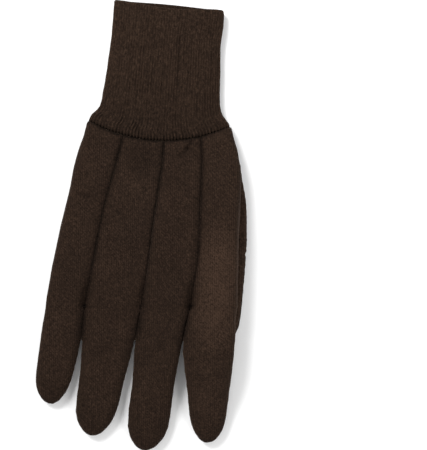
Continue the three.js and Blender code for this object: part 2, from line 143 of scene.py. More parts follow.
class Finish:
    """A material whose nodes are added and linked one after another."""

    def __init__(self, name):
        self.material = bpy.data.materials.new(name)
        self.material.use_nodes = True
        self.nodes = self.material.node_tree.nodes
        self.links = self.material.node_tree.links
        self.shader = self.nodes["Principled BSDF"]
        self.place = self.nodes.new("ShaderNodeTexCoord").outputs["Object"]

    def add(self, kind, inputs=None, **settings):
        node = self.nodes.new(kind)
        for key, value in settings.items():
            setattr(node, key, value)
        for key, value in (inputs or {}).items():
            socket = node.inputs[key]
            if isinstance(value, bpy.types.NodeSocket):
                self.links.new(value, socket)
            else:
                socket.default_value = value
        return node

    def noise(self, per_metre, detail=3.0, roughness=0.6, stretch=(1, 1, 1)):
        """A noise whose cells are about 1 / per_metre wide."""
        sized = self.add("ShaderNodeMapping", {"Vector": self.place, "Scale": stretch})
        cells = {"Vector": sized.outputs[0], "Scale": per_metre, "Detail": detail, "Roughness": roughness}
        return self.add("ShaderNodeTexNoise", cells).outputs["Fac"]

    def sum(self, *terms):
        """The sum of value times weight over (value, weight) pairs."""
        total = 0.0
        for value, weight in terms:
            total = self.add(
                "ShaderNodeMath", {0: value, 1: weight, 2: total}, operation="MULTIPLY_ADD"
            ).outputs[0]
        return total

    def product(self, first, second):
        """The product of two values."""
        return self.add("ShaderNodeMath", {0: first, 1: second}, operation="MULTIPLY").outputs[0]

    def bands(self, axis, pitch):
        """Soft stripes across an axis, a pitch apart and a little uneven."""
        stripes = {"Vector": self.place, "Scale": BAND_PITCH / pitch}
        uneven = {"Distortion": 1.2, "Detail": 2.0, "Detail Scale": 2.0}
        return self.add("ShaderNodeTexWave", {**stripes, **uneven}, bands_direction=axis).outputs["Fac"]

    def painted(self, name):
        """A number that is stored at each corner of the piece's mesh."""
        return self.add("ShaderNodeAttribute", attribute_name=name).outputs["Fac"]

    def shade(self, pile, colour):
        """The yarn's colour, from deep in the pile to its light flecks, times the painted shade."""
        ramp = self.add("ShaderNodeValToRGB", {"Fac": pile})
        while len(ramp.color_ramp.elements) < len(PILE_TONES):
            ramp.color_ramp.elements.new(0.5)
        for stop, (position, tone) in zip(ramp.color_ramp.elements, PILE_TONES):
            stop.position = position
            stop.color = (*[channel * tone for channel in colour], 1)
        dimmed = {0: ramp.outputs["Color"], "Scale": self.painted("shade")}
        return self.add("ShaderNodeVectorMath", dimmed, operation="SCALE").outputs[0]

    def bump(self, height, depth):
        """Raises the surface where height is more, by up to a depth."""
        node = self.add("ShaderNodeBump", {"Height": height, "Strength": 1.0, "Distance": depth})
        self.links.new(node.outputs["Normal"], self.shader.inputs["Normal"])

    def cloth(self, colour):
        """Matt cotton of a colour, with a faint sheen."""
        self.links.new(colour, self.shader.inputs["Base Color"])
        self.shader.inputs["Roughness"].default_value = YARN_ROUGHNESS
        self.shader.inputs["Specular IOR Level"].default_value = YARN_SPECULAR
        self.shader.inputs["Sheen Weight"].default_value = SHEEN
        self.shader.inputs["Sheen Roughness"].default_value = SHEEN_ROUGHNESS
        self.shader.inputs["Sheen Tint"].default_value = (*SHEEN_TINT, 1)


jersey = Finish("brushed_jersey")
fuzz = jersey.noise(1500, detail=4.0, roughness=0.75)
tufts = jersey.noise(900, detail=2.0, stretch=(1, 0.75, 1))
mottle = jersey.noise(70, detail=3.0)
wales = jersey.bands("X", WALE_WIDTH)
courses = jersey.bands("Y", COURSE_HEIGHT)
twill = jersey.bands("DIAGONAL", TWILL_WIDTH)
bare = jersey.painted("bare")
knit = jersey.product(jersey.sum((wales, 0.5), (courses, 0.5)), bare)
pile = jersey.sum(
    (fuzz, 0.5), (tufts, 0.31), (wales, 0.05), (mottle, 0.09), (twill, 0.03), (knit, 0.02), (bare, 0.085)
)
jersey.cloth(jersey.shade(pile, JERSEY_BROWN))
jersey.bump(jersey.sum((fuzz, 0.55), (tufts, 0.4), (wales, 0.1), (knit, 0.12)), JERSEY_PILE)

# The skin of the whole hand is made first, as one smooth closed form that takes in all the pieces. The
# fingers and the thumb are held apart meanwhile, so that they don't grow together.
STRIPS = ["little_back", "ring_back", "middle_back", "index_back"]
ORDER = ["palm", *STRIPS, "thumb_front", "thumb_back", "knit_wrist"]
THUMB = {"thumb_front", "thumb_back"}
DOUBLES = 0.002 * MM
LONG_EDGE, HALVINGS = 3 * MM, 3  # edges longer than this are halved, so that a piece can bend
SKIN_CELL = 1.0 * MM
GAP_CLOSE = 0.2 * MM  # each piece is swollen by this much, so that the seams close
SKIN_SMOOTHINGS = 14
THUMB_PART = Vector((3.0 * MM, 0, -4.0 * MM))  # the thumb is held this far off the palm meanwhile
THUMB_PARTING = 18 * MM  # and it bends to there over this length, below the fork
FINGER_PART = 3.0 * MM  # each finger is held this far off the one before
FINGER_PARTING = 10 * MM
CROTCH = -45.6 * MM  # the y where the fingers fork
CROTCH_FROM = -28 * MM  # the fold towards the crotches starts here
PAST_TIPS = -132 * MM
ROW_STEP = 2 * MM
GAP_ROWS = np.arange(CROTCH_FROM, PAST_TIPS, -ROW_STEP)
OPEN_HALF = 2 * MM  # half of a gap's width, past the tip of one of its fingers
HAND_HEIGHTS = np.arange(1, 24) * MM
BESIDE_HAND = 0.2
NEAR_THUMB = 2 * MM
thumb_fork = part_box("thumb_back")[1].y
wrist_low, wrist_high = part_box("knit_wrist")


def smooth_step(value, start, end):
    """0 up to a start and 1 past an end, with a smooth rise between them."""
    share = np.clip((np.asarray(value) - start) / (end - start), 0, 1)
    return share * share * (3 - 2 * share)


def thumb_share(y):
    """How much of THUMB_PART a place on the thumb has: none above the fork, and all of it further down."""
    return smooth_step(thumb_fork - y, 0, THUMB_PARTING)


def frame_piece(node, swollen=0.0, fine=False):
    """A bmesh of one piece of the frame with its doubles merged. The thumb is held off the palm."""
    piece = bmesh.new()
    piece.from_mesh(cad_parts[node].data)
    bmesh.ops.remove_doubles(piece, verts=piece.verts, dist=DOUBLES)
    if fine or node in THUMB:
        for _ in range(HALVINGS):
            long_edges = [edge for edge in piece.edges if edge.calc_length() > LONG_EDGE]
            bmesh.ops.subdivide_edges(piece, edges=long_edges, cuts=1, use_grid_fill=True)
        bmesh.ops.triangulate(piece, faces=piece.faces)
    piece.normal_update()
    for vert in piece.verts:
        vert.co += vert.normal * swollen
        if node in THUMB:
            vert.co += THUMB_PART * float(thumb_share(vert.co.y))
    return piece


trees = {}
for node in ORDER:
    piece = frame_piece(node)
    trees[node] = BVHTree.FromBMesh(piece)
    piece.free()


def side_of(node, y, side):
    """The x of a back strip's side at a y: side 1 is towards the index finger. None past the fingertip."""
    found = []
    for z in HAND_HEIGHTS:
        hit = trees[node].ray_cast(Vector((side * BESIDE_HAND, y, z)), Vector((-side, 0, 0)))[0]
        if hit is not None:
            found.append(hit.x * side)
    return max(found) * side if found else None


def gap_line(node, following):
    """The middle of the seam or the gap between two fingers and half its width, for each of GAP_ROWS."""
    line = []
    for y in GAP_ROWS:
        left, right = side_of(node, y, 1), side_of(following, y, -1)
        if left is None and right is None:
            line.append(line[-1])
        elif left is None:
            line.append((right - OPEN_HALF, OPEN_HALF))
        elif right is None:
            line.append((left + OPEN_HALF, OPEN_HALF))
        else:
            line.append(((left + right) / 2, (right - left) / 2))
    return np.array(line)


gap_lines = [gap_line(node, following) for node, following in zip(STRIPS, STRIPS[1:])]


def finger_shift(places, back=False):
    """How far each place is moved towards the index side, by its finger. With back, it has been moved."""
    share = smooth_step(CROTCH - places[:, 1], 0, FINGER_PARTING)
    shift = np.zeros(len(places))
    for step, line in enumerate(gap_lines):
        middle = np.interp(-places[:, 1], -GAP_ROWS, line[:, 0])
        if back:
            middle = middle + FINGER_PART * share * (step + 0.5)
        shift += (places[:, 0] > middle) * FINGER_PART * share
    return shift


def places_of(shape):
    """The places of a bmesh's vertices, as rows."""
    return np.array([vert.co for vert in shape.verts])


def on_thumb(place):
    """Whether the thumb, as it is held off the palm, is at a place."""
    return any(trees[node].find_nearest(place, NEAR_THUMB)[0] is not None for node in THUMB)


def shift_fingers(shape, back=False):
    """Moves the fingers of a bmesh apart, or back to where they were."""
    shifts = finger_shift(places_of(shape), back)
    for vert, shift in zip(shape.verts, shifts):
        if not back:
            vert.co.x += shift
        elif shift and not on_thumb(vert.co):
            vert.co.x -= shift


def object_of(name, shape):
    """The bmesh as a named object at the origin."""
    mesh = bpy.data.meshes.new(name)
    shape.to_mesh(mesh)
    shape.free()
    made = bpy.data.objects.new(name, mesh)
    bpy.context.scene.collection.objects.link(made)
    return made


def finished_mesh(source):
    """A new mesh of an object with its modifiers applied. The object is removed."""
    mesh = bpy.data.meshes.new_from_object(source.evaluated_get(bpy.context.evaluated_depsgraph_get()))
    bpy.data.objects.remove(source)
    return mesh


whole = bmesh.new()
for node in ORDER:
    piece = frame_piece(node, GAP_CLOSE, fine=True)
    if node not in THUMB:
        shift_fingers(piece)
    scratch = bpy.data.meshes.new("scratch")
    piece.to_mesh(scratch)
    whole.from_mesh(scratch)
    piece.free()
    bpy.data.meshes.remove(scratch)

# A lid closes the mouth of the wrist, so that the outside of the skin can be told from its inside.
LID_THICK, LID_HIGH_SHARE = 4 * MM, 0.9
LID_ASIDE, LID_DOWN = 6 * MM, 8 * MM
wrist_middle = (wrist_high.x + wrist_low.x) / 2
lid = bmesh.ops.create_cube(whole, size=1.0)["verts"]
bmesh.ops.scale(whole, verts=lid, vec=(wrist_high.x - wrist_low.x, LID_THICK, wrist_high.z * LID_HIGH_SHARE))
lid_middle = Vector((wrist_middle + LID_ASIDE, wrist_high.y - LID_DOWN, wrist_high.z / 2))
bmesh.ops.translate(whole, verts=lid, vec=lid_middle)
skin_source = object_of("skin_source", whole)
voxels = skin_source.modifiers.new("voxels", "REMESH")
voxels.mode = "VOXEL"
voxels.voxel_size = SKIN_CELL
skin = bmesh.new()
skin.from_mesh(finished_mesh(skin_source))
fingertip = min(skin.verts, key=lambda vert: vert.co.y)
outside = {fingertip}
walk = [fingertip]
while walk:
    vert = walk.pop()
    for edge in vert.link_edges:
        other = edge.other_vert(vert)
        if other not in outside:
            outside.add(other)
            walk.append(other)
inside = [vert for vert in skin.verts if vert not in outside]
bmesh.ops.delete(skin, geom=inside, context="VERTS")
for _ in range(SKIN_SMOOTHINGS):
    bmesh.ops.smooth_vert(
        skin, verts=skin.verts, factor=0.5, use_axis_x=True, use_axis_y=True, use_axis_z=True
    )
shift_fingers(skin, back=True)

# The seams. Each place of the skin belongs to the piece of the frame that is nearest, and the next nearest
# says how far the seam is. The cloth rolls in to the stitches, swells beside them and puckers. It is drawn in
# less at the webs between the fingers and where the folds of the hand meet the wrist.
FAR = 12 * MM
FINE_REACH = 2.6 * MM  # the skin is finer this near to a seam
LINE_DEPTH, LINE_WIDTH = 1.6 * MM, 0.75 * MM
ROLL_DEPTH, ROLL_WIDTH = 0.95 * MM, 2.4 * MM
SHOULDER_RISE, SHOULDER_AT, SHOULDER_WIDTH = 0.4 * MM, 5.0 * MM, 2.8 * MM
PUCKER_RISE, PUCKER_LENGTH, PUCKER_REACH = 0.14 * MM, 4.6 * MM, 3.5 * MM
PUCKER_DRIFT, DRIFT_LENGTH, PUCKER_SLANT = 1.7, 17 * MM, 9 * MM  # the puckers are uneven and slant
# The dark line along a seam is partly its stitching and partly painted shade in its groove; the roll beside
# it gets painted shade.
LINE_DARK, LINE_DARK_WIDTH, ROLL_PAINTED_SHADE = 0.84, 1.1 * MM, 0.14
RIM_PAINTED_LIGHT = 0.35  # painted highlight along the steep sides, where the fuzz would catch the light
THUMB_PAINTED_LIGHT = 0.5  # painted light that lifts the thumb's upward faces out of the hand's shadow
RIM_SLOPES, THUMB_SLOPES, UPPER_SLOPES = (0.1, 0.6), (-0.3, 0.3), (0.1, 0.5)  # as the z of a normal
SEAM_END = CROTCH - 1 * MM
THUMB_SEAM_FADE, THUMB_SEAM_RISE = 9 * MM, 4.2 * MM
WEB = (CROTCH - 4 * MM, 5.0 * MM, 3.0 * MM)  # the y, length and width of the web that joins two fingers
WRIST_CORNERS = [(52 * MM, 56 * MM), (-31 * MM, 60 * MM)]  # where the folds of the hand meet the wrist seam
CORNER_SIZE, CORNER_CALM = 6 * MM, 0.9
ARCH_HEIGHT, ARCH_ROOM = 6 * MM, 5 * MM  # the seams of two finger fronts join in a round arch
ARCH_FROM = CROTCH - ARCH_HEIGHT
ARCH_SEARCH = np.arange(0.5, 9, 0.25) * MM
BESIDE_GAP, ABOVE_CROTCH, OVER_HAND = 4 * MM, 6 * MM, 60 * MM
MIDDLE_STEP, MIDDLE_REACH = 6 * MM, 9 * MM


def front_above(x, y):
    """The height of the front piece's face over a place on the table, or None beside it."""
    hit = trees["palm"].ray_cast(Vector((x, y, -FLOOR_DROP)), Vector((0, 0, 1)))[0]
    return hit and hit.z


def front_edge(gap_x, side):
    """How far the front piece is from the middle of a gap, to one side, at the lower end of the arch."""
    for off in ARCH_SEARCH:
        if front_above(gap_x + side * off, ARCH_FROM) is not None:
            return off
    return ARCH_HEIGHT


crotch_x = [np.interp(-CROTCH, -GAP_ROWS, line[:, 0]) for line in gap_lines]
crotch_z = []
for gap_x, following in zip(crotch_x, STRIPS[1:]):
    beside = gap_x + BESIDE_GAP
    back = trees[following].ray_cast(Vector((beside, CROTCH, OVER_HAND)), Vector((0, 0, -1)))[0].z
    crotch_z.append((back + front_above(beside, CROTCH + ABOVE_CROTCH)) / 2)


def hand_middle(places):
    """The height of the middle of the hand at each place, at the crotches."""
    return np.interp(places[:, 0], crotch_x, crotch_z)


def arch_of(places):
    """How far each place is outside the round top of a seam that joins two finger fronts, or NaN."""
    outside = np.full(len(places), np.nan)
    for gap_x in crotch_x:
        for side in (-1, 1):
            half_wide = front_edge(gap_x, side)
            across = (places[:, 0] - gap_x) * side
            up = places[:, 1] - ARCH_FROM
            near = (across >= 0) & (across < half_wide + ARCH_ROOM)
            near &= (up > 0) & (up < ARCH_HEIGHT + ARCH_ROOM)
            near &= places[:, 2] < hand_middle(places)
            near[near] = [not on_thumb(place) for place in places[near]]
            outside[near] = (np.hypot(across[near] / half_wide, up[near] / ARCH_HEIGHT) - 1) * half_wide
    return outside


def reach_of(shape):
    """How far each vertex is from each piece of the frame, as rows by pieces. FAR is the furthest."""
    reach = np.full((len(shape.verts), len(ORDER)), FAR)
    for row, vert in enumerate(shape.verts):
        for column, node in enumerate(ORDER):
            found = trees[node].find_nearest(vert.co, FAR)[3]
            if found is not None:
                reach[row, column] = found
    outside = arch_of(places_of(shape))
    rows = np.nonzero(~np.isnan(outside))[0]
    strips = [ORDER.index(name) for name in STRIPS]
    shortest = reach[np.ix_(rows, strips)].min(axis=1)
    reach[np.ix_(rows, strips)] += (np.clip(outside[rows], 0, FAR) - shortest)[:, None]
    reach[rows, ORDER.index("palm")] = np.clip(-outside[rows], 0, FAR)
    return reach


def strip_middle(name):
    """The middle line of an outer back strip, as rows of y and x."""
    corners = np.array([vert.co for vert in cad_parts[name].data.vertices])
    rows = np.arange(corners[:, 1].min(), corners[:, 1].max(), MIDDLE_STEP)
    middles = []
    for row in rows:
        near = corners[np.abs(corners[:, 1] - row - MIDDLE_STEP / 2) < MIDDLE_REACH]
        middles.append((near[:, 0].min() + near[:, 0].max()) / 2)
    return rows, np.array(middles)


thumb_side = []  # the seam of the thumb's two halves, on from the fork along its outer side to the wrist
for y in np.arange(thumb_fork - THUMB_SEAM_FADE, wrist_low.y, ROW_STEP):
    start = Vector((BESIDE_HAND, y, THUMB_SEAM_RISE + THUMB_PART.z * float(thumb_share(y))))
    hits = [trees[node].ray_cast(start, Vector((-1, 0, 0)))[0] for node in sorted(THUMB)]
    hits = [hit for hit in hits if hit is not None]
    if hits:
        thumb_side.append(max(hits, key=lambda hit: hit.x))
thumb_side = np.array(thumb_side)


def from_thumb_side(places):
    """The distance of each place from the line of thumb_side."""
    nearest = np.full(len(places), FAR)
    for start, end in zip(thumb_side, thumb_side[1:]):
        along = np.clip((places - start) @ (end - start) / ((end - start) @ (end - start)), 0, 1)
        nearest = np.minimum(nearest, np.linalg.norm(places - start - along[:, None] * (end - start), axis=1))
    return nearest


def seam_of(places, reach):
    """Each place's piece and distance to a sewn seam. The outer sides of the hand are folds, and no seams."""
    owner = reach.argmin(axis=1)
    apart = reach.copy()
    apart[np.arange(len(owner)), owner] = FAR
    palm = ORDER.index("palm")
    for name, side in (("little_back", -1), ("index_back", 1)):
        rows, middles = strip_middle(name)
        strip = ORDER.index(name)
        folded = (places[:, 0] - np.interp(places[:, 1], rows, middles)) * side > 0
        apart[folded & (owner == palm), strip] = FAR
        apart[folded & (owner == strip), palm] = FAR
    for name in THUMB:
        apart[owner == ORDER.index("little_back"), ORDER.index(name)] = FAR
    outer_half, inner_half = ORDER.index("thumb_front"), ORDER.index("thumb_back")
    faded = np.clip(places[:, 1] - thumb_fork + THUMB_SEAM_FADE, 0, FAR)
    for half, other in ((outer_half, inner_half), (inner_half, outer_half)):
        rows = owner == half
        apart[rows, other] = np.hypot(apart[rows, other], faded[rows])
    past = np.clip(SEAM_END - places[:, 1], 0, FAR)
    for name in STRIPS:
        rows = owner == ORDER.index(name)
        for other in set(STRIPS) - {name}:
            apart[rows, ORDER.index(other)] = np.hypot(apart[rows, ORDER.index(other)], past[rows])
    seam = apart.min(axis=1)
    thumb_rows = np.isin(owner, [outer_half, inner_half])
    seam[thumb_rows] = np.minimum(seam[thumb_rows], from_thumb_side(places[thumb_rows]))
    return owner, seam


coarse_places = places_of(skin)
_, coarse_seam = seam_of(coarse_places, reach_of(skin))
near_seam = set(np.nonzero(coarse_seam < FINE_REACH)[0].tolist())
skin.verts.index_update()
fine_edges = [edge for edge in skin.edges if all(vert.index in near_seam for vert in edge.verts)]
bmesh.ops.subdivide_edges(skin, edges=fine_edges, cuts=1, use_grid_fill=True, smooth=0.0)
skin.verts.index_update()
skin.normal_update()
places = places_of(skin)
normals = np.array([vert.normal for vert in skin.verts])
reach = reach_of(skin)
owner, seam = seam_of(places, reach)
middles, halves = (
    np.array([np.interp(-places[:, 1], -GAP_ROWS, line[:, column]) for line in gap_lines])
    for column in (0, 1)
)
across_gap = places[:, 0] - middles


def bell(off, width):
    """1 where a place isn't off at all, and near 0 where it is off by two widths."""
    return np.exp(-((off / width) ** 2))


def over_gaps(y, length, width):
    """How near each place is to the line between two fingers, around a y."""
    return bell(across_gap, width).max(axis=0) * bell(places[:, 1] - y, length)


def from_point(places, x, y):
    """Distance of each place from a point in the plane."""
    return np.hypot(places[:, 0] - x, places[:, 1] - y)


corner = sum(bell(from_point(places, x, y), CORNER_SIZE) for x, y in WRIST_CORNERS)
line = bell(seam, LINE_WIDTH)
roll = bell(seam, ROLL_WIDTH)
shoulder = bell(seam - SHOULDER_AT, SHOULDER_WIDTH)
drift = PUCKER_DRIFT * np.sin(places[:, 1] / DRIFT_LENGTH) + places[:, 0] / PUCKER_SLANT
phase = places[:, 1] / PUCKER_LENGTH + drift
pucker = np.sin(phase * math.tau) * np.exp(-seam / PUCKER_REACH) * (1 - line)
sunk = LINE_DEPTH * line + ROLL_DEPTH * roll - SHOULDER_RISE * shoulder - PUCKER_RISE * pucker
sunk = sunk * (1 - over_gaps(*WEB)) * (1 - CORNER_CALM * np.clip(corner, 0, 1))
# Painted light and shade, kept at each vertex: first the painted shade along the seams.
painted_light_and_shade = 1 - LINE_DARK * bell(seam, LINE_DARK_WIDTH) - ROLL_PAINTED_SHADE * roll
# A painted highlight on the steep sides.
painted_rim_light = 1 - smooth_step(np.abs(normals[:, 2]), *RIM_SLOPES)
painted_light_and_shade *= 1 + RIM_PAINTED_LIGHT * painted_rim_light * (1 - roll)
# Painted light on the thumb's upward faces, against the shadow of the hand.
on_thumb_piece = np.isin(owner, [ORDER.index(name) for name in THUMB])
painted_light_and_shade *= 1 + THUMB_PAINTED_LIGHT * on_thumb_piece * smooth_step(normals[:, 2], *THUMB_SLOPES)

# Loose cloth: the jersey waves a little everywhere, and has a few tucks and hollows of its own.
WAVES = [(24 * MM, 0.45 * MM), (9 * MM, 0.13 * MM)]  # length and height
TUCKS = [  # the two ends, depth and width, in millimetres
    ((28.9, 48.3), (26.6, 44.3), 1.1, 1.1),
    ((26.6, 44.3), (22.5, 39.6), 0.9, 1.3),
    ((-36.5, 17.8), (-30.2, 16.4), 0.5, 1.6),
    ((-18.0, -8.0), (-13.0, -10.0), 0.25, 2.2),
    ((44.0, -76.0), (30.0, -78.5), 0.35, 3.0),
    ((12.0, -70.0), (3.0, -72.5), 0.35, 3.0),
    ((-20.0, -72.0), (-27.0, -73.0), 0.3, 3.0),
]
BANK_AT, BANK_SHARE = 1.9, 0.35  # the cloth rises beside a tuck, in its widths and in shares of its depth
HOLLOWS = [  # the middle, radius and depth, in millimetres
    ((1.7, 36.2), 9.0, 1.6),
    ((-36.0, -33.4), 8.0, 0.6),
    ((20.0, -30.0), 12.0, 0.4),
]
TUCK_PAINTED_SHADE, HOLLOW_PAINTED_SHADE = 0.3, 0.17  # painted shade in the tucks and hollows, for each millimetre of depth


def waves_at(place):
    """How far the waves lift the cloth at a place."""
    return sum(height * noise.noise(Vector(place) / length) for length, height in WAVES)


def from_segment(places, start, end):
    """Distance of each place from a segment in the plane."""
    start, end = np.array(start) * MM, np.array(end) * MM
    along = np.clip(((places[:, :2] - start) @ (end - start)) / ((end - start) @ (end - start)), 0, 1)
    return np.linalg.norm(places[:, :2] - start - along[:, None] * (end - start), axis=1)


upper = smooth_step(normals[:, 2], *UPPER_SLOPES)
sunk = sunk - np.array([waves_at(place) for place in places])
# Each tuck and hollow sinks the cloth and gets painted shade.
for start, end, depth, width in TUCKS:
    off = from_segment(places, start, end) / (width * MM)
    sunk += upper * depth * MM * (bell(off, 1) - BANK_SHARE * bell(off - BANK_AT, 1))
    painted_light_and_shade *= 1 - TUCK_PAINTED_SHADE * depth * upper * bell(off, 1)
for (x, y), radius, depth in HOLLOWS:
    hollow = upper * bell(from_point(places, x * MM, y * MM), radius * MM)
    sunk += depth * MM * hollow
    painted_light_and_shade *= 1 - HOLLOW_PAINTED_SHADE * depth * hollow
moved = places - normals * sunk[:, None]

# The back and the front of the hand come nearer to each other in a fold that runs to the crotch of two
# fingers and on between them. Below it the roots of the fingers press against each other, down to where they
# part.
PRESSED_FROM, PRESSED_TO, PRESSED_FADE = CROTCH - 0.5 * MM, -63 * MM, 4 * MM
PRESSED_PULL, PRESSED_REACH = 1.6 * MM, 6 * MM
PRESSED_IN = 0.02 * MM  # soft cloth gives this much where two fingers touch
CREVICE_WIDTH, CREVICE_SHARE, PALM_CREVICE_SHARE = 2.3 * MM, 0.62, 0.3
CREVICE_PAINTED_SHADE, CREVICE_SHADE_LEAST = 0.7, 0.3
SHADE_DEEPENS_FROM, SHADE_DEEPENS_OVER = CROTCH + 4 * MM, 12 * MM  # the crevice's painted shade deepens down from the crotch
SHADOW = (PRESSED_TO + 5 * MM, 8 * MM, 3.0 * MM)  # the y, length and width of a painted shadow, where two fingers part
SHADOW_DARK = 0.85
together = 1 - smooth_step(PRESSED_TO - places[:, 1], 0, PRESSED_FADE)
crevice = bell(across_gap, CREVICE_WIDTH).max(axis=0) * together
crevice *= smooth_step(places[:, 1], CROTCH_FROM, CROTCH)
raised = moved[:, 2] - hand_middle(places)
moved[:, 2] -= raised * np.where(raised > 0, CREVICE_SHARE, PALM_CREVICE_SHARE) * crevice
# Painted shade in the crevice between the fingers, deepening down from the crotch, and a painted shadow where
# two fingers part.
deeper_shade = smooth_step(SHADE_DEEPENS_FROM - places[:, 1], 0, SHADE_DEEPENS_OVER)
deeper_shade = CREVICE_SHADE_LEAST + (1 - CREVICE_SHADE_LEAST) * deeper_shade
painted_light_and_shade *= 1 - CREVICE_PAINTED_SHADE * crevice * deeper_shade * (raised > 0)
painted_light_and_shade *= 1 - SHADOW_DARK * over_gaps(*SHADOW) * (raised > 0)
pressed = together * smooth_step(PRESSED_FROM - places[:, 1], 0, PRESSED_FADE)
for off, half in zip(moved[:, 0] - middles, halves):
    pull = (half + PRESSED_PULL) * pressed * (1 - smooth_step(np.abs(off) - half, 0, PRESSED_REACH))
    moved[:, 0] -= np.sign(off) * np.clip(np.abs(off) + PRESSED_IN, 0, pull)

# The skin is parted along the seams. Places on a parting slide along the skin onto the seam's own line. Then
# the thumb goes back under the palm, and what rests on the table is flat.
BARE = [  # the thin fuzz of the index strip: two ends and width in millimetres, and how thin
    ((43.0, 45.0), (44.0, -20.0), 12.0, 0.1),
    ((44.0, -17.0), (42.0, -52.0), 14.0, 1.0),
    ((41.0, -66.0), (37.0, -100.0), 11.0, 0.4),
]
ON_PIECE = 0.9 * MM  # what is this near to a piece of the frame takes its finish
PARTING_SMOOTHINGS = 5
outside_arch = arch_of(places)
shade_layer = skin.verts.layers.float.new("shade")
bare_layer = skin.verts.layers.float.new("bare")
on_index = reach[:, ORDER.index("index_back")] < ON_PIECE
worn = np.zeros(len(places))
for start, end, width, share in BARE:
    worn = np.maximum(worn, on_index * share * bell(from_segment(places, start, end), width * MM))
for face in skin.faces:
    rows = [vert.index for vert in face.verts]
    face.material_index = int(reach[rows].mean(axis=0).argmin())
for vert in skin.verts:
    row = vert.index
    vert.co = moved[row]
    vert[shade_layer] = painted_light_and_shade[row]
    vert[bare_layer] = worn[row]
    owners = sorted({face.material_index for face in vert.link_faces})
    if len(owners) > 1 and np.isnan(outside_arch[row]):
        start = Vector(places[row])
        nearest = [trees[ORDER[k]].find_nearest(start)[0] for k in owners[:2]]
        slide = (nearest[0] + nearest[1]) / 2 - start
        slide -= Vector(normals[row]) * slide.dot(Vector(normals[row]))
        if slide.length < SKIN_CELL:
            vert.co += slide
    if ORDER[owner[row]] in THUMB:
        vert.co -= THUMB_PART * float(thumb_share(vert.co.y))
    vert.co.z = max(vert.co.z, 0.0)
partings = {}
for edge in skin.edges:
    if len({face.material_index for face in edge.link_faces}) > 1:
        for vert in edge.verts:
            partings.setdefault(vert, []).append(edge.other_vert(vert))
for _ in range(PARTING_SMOOTHINGS):
    evened = {}
    for vert, others in partings.items():
        if len(others) > 1:
            evened[vert] = (vert.co + sum((other.co for other in others), Vector()) / len(others)) / 2
    for vert, place in evened.items():
        vert.co = place

# The pieces of the hand, each with the thickness of the cloth. The palm piece takes in the fronts of the
# fingers and wraps round the outer sides, over the little and the index finger, to the first and last seam of
# the back.
CLOTH_WALL = 1.5 * MM
PIECES = {
    "front_and_palm": ["palm", "little_back", "index_back"],
    "ring_strip": ["ring_back"],
    "middle_strip": ["middle_back"],
    "thumb_outer_half": ["thumb_front"],
    "thumb_inner_half": ["thumb_back"],
}
for name, nodes in PIECES.items():
    kept = {ORDER.index(node) for node in nodes}
    piece = skin.copy()
    others = [face for face in piece.faces if face.material_index not in kept]
    bmesh.ops.delete(piece, geom=others, context="FACES")
    for face in piece.faces:
        face.material_index = 0
        face.smooth = True
    cloth = object_of(name, piece)
    cloth.data.materials.append(jersey.material)
    wall = cloth.modifiers.new("wall", "SOLIDIFY")
    wall.thickness = CLOTH_WALL
    wall.offset = -1
    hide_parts(*nodes)
    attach(cloth, "root")
skin.free()

# The knit wrist: a tube of rib knit, folded double at its mouth, stretched onto the wider hand and sewn to it
# in a curved seam, where its ribs fan out and gather. It was laid flat, so its two sides are folds.
WRIST_EDGES = [
    # share down from the mouth, then in millimetres: x and y of the left and of the right edge, half the
    # thickness, and the rise of a rib
    (0.0, -15.9, 129.2, 47.2, 123.2, 5.2, 0.08),
    (0.03, -16.0, 127.6, 47.5, 121.6, 5.2, 0.12),
    (0.15, -16.4, 119.7, 47.0, 113.9, 5.1, 0.16),
    (0.26, -17.1, 112.0, 45.7, 106.6, 5.0, 0.18),
    (0.33, -17.6, 106.9, 45.3, 101.8, 5.0, 0.2),
    (0.51, -19.4, 94.2, 45.2, 89.6, 5.0, 0.22),
    (0.67, -21.1, 83.2, 44.9, 78.9, 5.1, 0.23),
    (0.82, -22.8, 72.9, 44.9, 69.5, 5.3, 0.24),
    (0.88, -24.0, 68.6, 45.8, 65.0, 5.5, 0.25),
    (0.91, -25.9, 66.3, 47.0, 62.6, 5.7, 0.33),
    (0.94, -28.6, 64.3, 48.6, 60.6, 5.9, 0.4),
    (0.97, -29.6, 62.2, 50.2, 58.7, 5.9, 0.44),
    (1.0, -30.4, 60.1, 50.8, 56.6, 5.7, 0.44),
    (1.06, -29.0, 55.9, 48.5, 52.6, 5.4, 0.3),
]
WRIST_BULGE = 2.6  # the power of the rounded section: 2 is an ellipse
SECTION_STEPS = 2401
SEAM_SAG, SAG_FROM = 9.5 * MM, 0.2
RIBS = 92
RIB_STEPS = 5
RIB_TURNS = (9, 21, 47)  # a rib grows and fades along its length in these waves
RIB_UNEVEN = 0.6
RIB_SEED, RIB_STRENGTHS = 5, (0.55, 1.25)  # the ribs differ, from the weakest to the strongest
KNIT_WALL = 2.0 * MM
RIB_BROWN = (0.0182, 0.0107, 0.0070)
RIB_COURSE = 1.0 * MM
RIB_PILE = 0.3 * MM
LIP = 0.028  # share of the length over which the knit rolls in to the seam
LIP_DEPTH, LIP_FOLD_CALM, LIP_FOLD_POWER = 1.3 * MM, 0.8, 6  # it rolls in less at the two side folds
MOUTH_DIP = 2.2 * MM  # the upper layer is pulled down this far at the mouth
MOUTH_PEEK = 0.7 * MM  # and the lower one stands out
MOUTH_REACH, MOUTH_POWER = 0.25, 1.5
SCALLOP, SCALLOP_FROM = 0.3 * MM, 0.9
